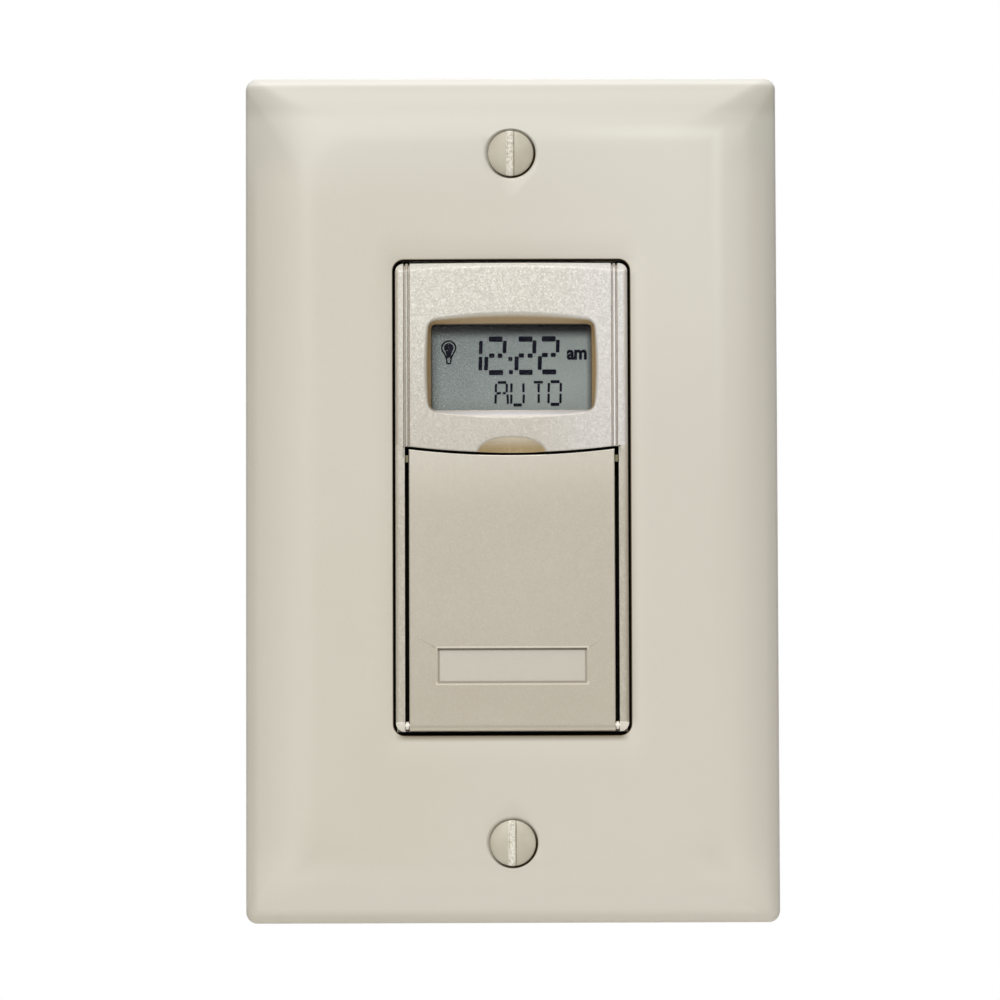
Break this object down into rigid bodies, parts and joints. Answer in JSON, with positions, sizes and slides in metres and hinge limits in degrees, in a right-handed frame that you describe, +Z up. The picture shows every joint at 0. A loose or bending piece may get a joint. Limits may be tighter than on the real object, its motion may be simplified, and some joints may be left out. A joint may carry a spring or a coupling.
{
  "type": "timer light switch",
  "caption": "In-wall digital timer switch with its screwed cover plate: a display window above a flip-down door that also presses as the on and off paddle.",
  "frame": {"origin": "centre of the two wall-box screws, on the wall's face plane", "axes": "+X to the right seen from the room, +Z up, +Y into the wall"},
  "size_m": [0.075, 0.0408, 0.1194],
  "materials": {
    "plate_plastic": "smooth light almond moulded plastic, satin gloss",
    "bezel_plastic": "light almond moulded plastic with a fine grain",
    "door_plastic": "almond moulded plastic with a fine grain",
    "frame_plastic": "matte almond moulded plastic",
    "key_plastic": "matte grey keys",
    "tray_plastic": "matte almond moulded plastic",
    "screw_paint": "screw heads painted to match the plate",
    "plated_steel": "zinc-plated steel",
    "brass": "plain brass",
    "ground_green": "green finish of a ground screw",
    "lens_clear": "clear hard window",
    "display_glass": "reflective liquid crystal panel with dark segments",
    "backing_white": "white moulded holder",
    "strip_rubber": "elastomer connector",
    "mat_rubber": "silicone rubber",
    "carbon": "carbon contact pill",
    "board_green": "circuit board with green mask",
    "case_black": "black flame-retardant housing",
    "cell_steel": "nickel-plated cell can",
    "relay_black": "relay cover",
    "core_steel": "varnished laminations and taped coil",
    "can_sleeve": "capacitor sleeves",
    "film_yellow": "film capacitor case",
    "disc_blue": "surge disc coating",
    "link_black": "board connector",
    "chip_black": "moulded chip"
  },
  "bodies": {
    "device": {"wall_plate": "plate_plastic", "plate_screws": "screw_paint", "mounting_yoke": "plated_steel", "box_screws": "plated_steel", "ground_screw": "ground_green", "front_bezel": "bezel_plastic", "display_lens": "lens_clear", "lcd_panel": "display_glass", "contact_strips": "strip_rubber", "display_backing": "backing_white", "key_board": "board_green", "keypad_mat": "mat_rubber", "hinge_pins": "plated_steel", "battery_tray": "tray_plastic", "coin_cell": "cell_steel", "battery_contacts": "plated_steel", "rear_housing": "case_black", "housing_screws": "plated_steel", "terminal_plates": "brass", "terminal_screws": "brass", "neutral_screw": "plated_steel", "power_board": "board_green", "relay": "relay_black", "mains_transformer": "core_steel", "storage_capacitors": "can_sleeve", "film_capacitor": "film_yellow", "surge_disc": "disc_blue", "board_link": "link_black", "control_chip": "chip_black"},
    "paddle": {"paddle_frame": "frame_plastic", "paddle_pill": "carbon"},
    "door": {"door": "door_plastic"},
    "reset": {"reset_key": "key_plastic"},
    "mode_key": {"mode_key": "key_plastic"},
    "enter_key": {"enter_key": "key_plastic"},
    "minus_key": {"minus_key": "key_plastic"},
    "plus_key": {"plus_key": "key_plastic"}
  },
  "joints": [
    {"name": "paddle_press", "type": "hinge", "parent": "device", "child": "paddle", "pos_m": [0, -0.0063, -0.032], "axis": [-1, 0, 0], "range_deg": [0, 1.5], "stiffness_Nm_per_rad": 2, "springref_deg": -1.15},
    {"name": "door_hinge", "type": "hinge", "parent": "paddle", "child": "door", "pos_m": [0, -0.0063, -0.032], "axis": [1, 0, 0], "range_deg": [0, 105]},
    {"name": "reset_press", "type": "slide", "parent": "device", "child": "reset", "axis": [0, 1, 0], "range_m": [0, 0.0005], "stiffness_N_per_m": 1200, "springref_m": -0.0003},
    {"name": "mode_key_press", "type": "slide", "parent": "device", "child": "mode_key", "axis": [0, 1, 0], "range_m": [0, 0.0006], "stiffness_N_per_m": 1200, "springref_m": -0.0003},
    {"name": "enter_key_press", "type": "slide", "parent": "device", "child": "enter_key", "axis": [0, 1, 0], "range_m": [0, 0.0006], "stiffness_N_per_m": 1200, "springref_m": -0.0003},
    {"name": "minus_key_press", "type": "slide", "parent": "device", "child": "minus_key", "axis": [0, 1, 0], "range_m": [0, 0.0006], "stiffness_N_per_m": 1200, "springref_m": -0.0003},
    {"name": "plus_key_press", "type": "slide", "parent": "device", "child": "plus_key", "axis": [0, 1, 0], "range_m": [0, 0.0006], "stiffness_N_per_m": 1200, "springref_m": -0.0003}
  ]
}
